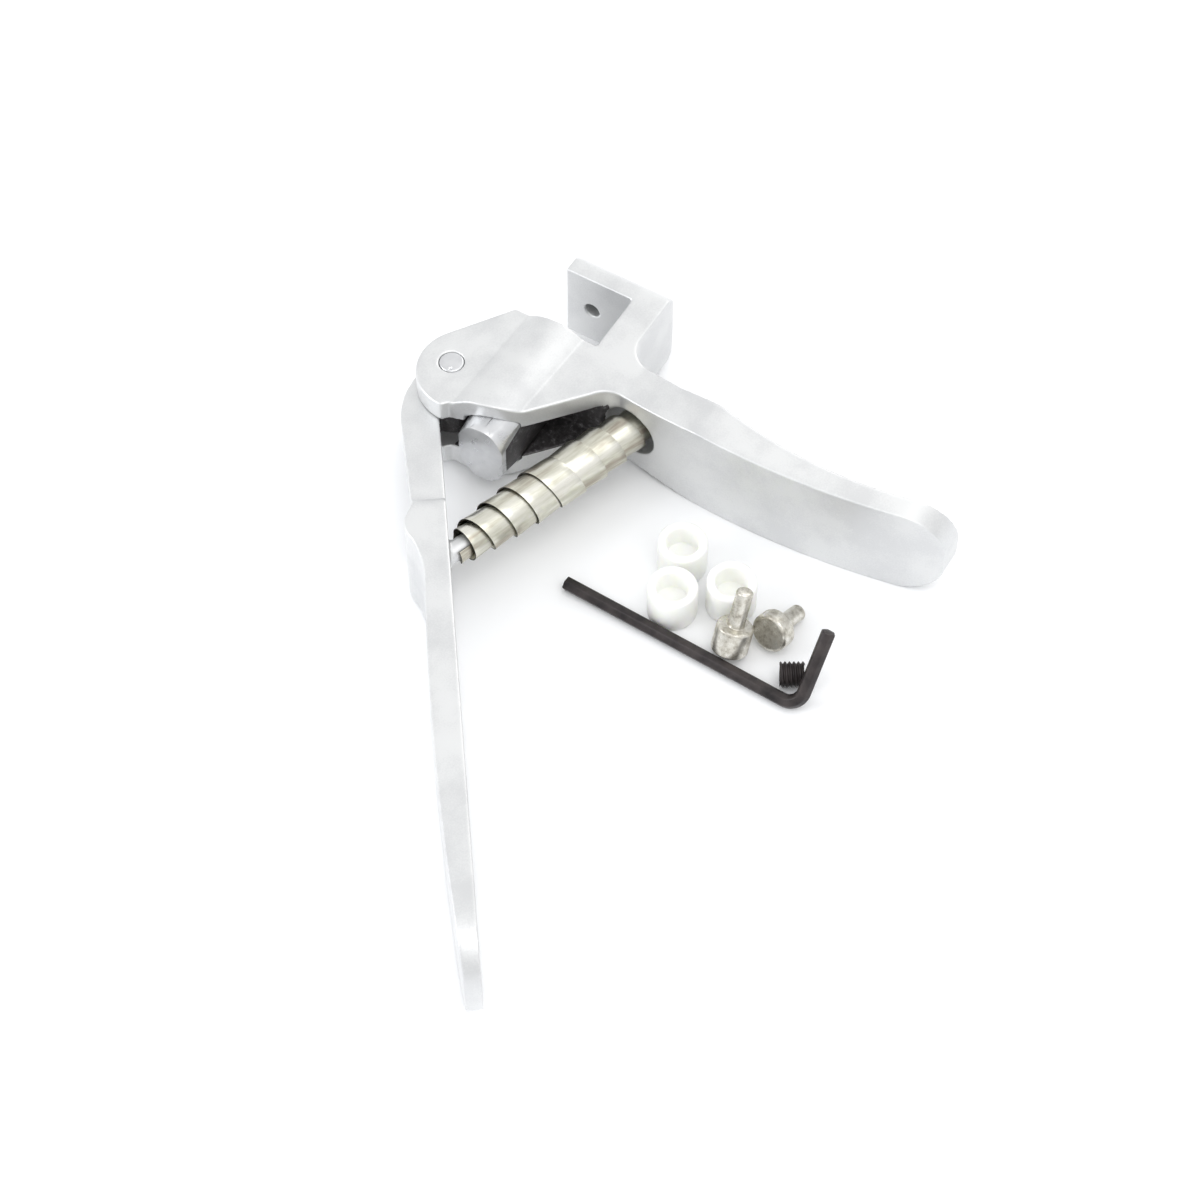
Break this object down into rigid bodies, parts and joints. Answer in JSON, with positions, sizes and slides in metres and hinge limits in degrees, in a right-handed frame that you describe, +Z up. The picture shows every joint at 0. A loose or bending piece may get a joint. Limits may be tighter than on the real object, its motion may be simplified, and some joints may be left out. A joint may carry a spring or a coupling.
{
  "type": "hand press pliers with loose dies",
  "caption": "Hand press pliers: a lever on a pivot drives a sliding plunger across a C-shaped throat, sprung open by a volute spring, with loose dies, cups and key.",
  "frame": {"origin": "centre of the die socket's mouth in the anvil face, on the press axis at the tool's mid-thickness", "axes": "+X the way the plunger presses towards the anvil, +Y from the fixed handle towards the pivot, +Z up through the thickness of the tool as it lies flat"},
  "size_m": [0.1784, 0.1291, 0.0264],
  "materials": {
    "cast_aluminium": "satin, bead blasted",
    "machined_steel": "machined",
    "nickel_strip": "bright nickel strip",
    "dull_nickel": "dull nickel plate",
    "black_oxide": "black oxide",
    "white_nylon": "moulded nylon"
  },
  "bodies": {
    "frame": {"frame_casting": "cast_aluminium", "pivot_pin": "machined_steel", "anvil_set_screw": "black_oxide", "volute_spring": "nickel_strip"},
    "lever": {"lever_handle": "cast_aluminium"},
    "press": {"plunger": "machined_steel", "plunger_set_screw": "black_oxide"},
    "key": {"hex_key": "black_oxide"},
    "tall_die_body": {"tall_die": "dull_nickel"},
    "flat_die_body": {"flat_die": "dull_nickel"},
    "spare_screw_body": {"spare_set_screw": "black_oxide"},
    "near_cup_body": {"nylon_cup_near": "white_nylon"},
    "far_cup_body": {"nylon_cup_far": "white_nylon"},
    "low_cup_body": {"nylon_cup_low": "white_nylon"}
  },
  "joints": [
    {"name": "lever_pivot", "type": "hinge", "parent": "frame", "child": "lever", "pos_m": [-0.0373, 0.0152, 0], "axis": [0, 0, 1], "range_deg": [0, 26.5], "stiffness_Nm_per_rad": 0.8, "springref_deg": -22.92, "deforming": ["volute_spring"]},
    {"name": "plunger_slide", "type": "slide", "parent": "frame", "child": "press", "axis": [1, 0, 0], "range_m": [0, 0.0057]},
    {"name": "key_lift", "type": "slide", "parent": "frame", "child": "key", "axis": [0, 0, 1], "range_m": [0, 0.02]},
    {"name": "tall_die_lift", "type": "slide", "parent": "key", "child": "tall_die_body", "axis": [0, 0, 1], "range_m": [0, 0.02]},
    {"name": "flat_die_lift", "type": "slide", "parent": "frame", "child": "flat_die_body", "axis": [0, 0, 1], "range_m": [0, 0.02]},
    {"name": "spare_screw_lift", "type": "slide", "parent": "frame", "child": "spare_screw_body", "axis": [0, 0, 1], "range_m": [0, 0.02]},
    {"name": "near_cup_lift", "type": "slide", "parent": "frame", "child": "near_cup_body", "axis": [0, 0, 1], "range_m": [0, 0.02]},
    {"name": "far_cup_lift", "type": "slide", "parent": "frame", "child": "far_cup_body", "axis": [0, 0, 1], "range_m": [0, 0.02]},
    {"name": "low_cup_lift", "type": "slide", "parent": "frame", "child": "low_cup_body", "axis": [0, 0, 1], "range_m": [0, 0.02]}
  ],
  "couplings": [
    {"joint": "plunger_slide", "follows": "lever_pivot", "m_per_rad": 0.01219}
  ]
}
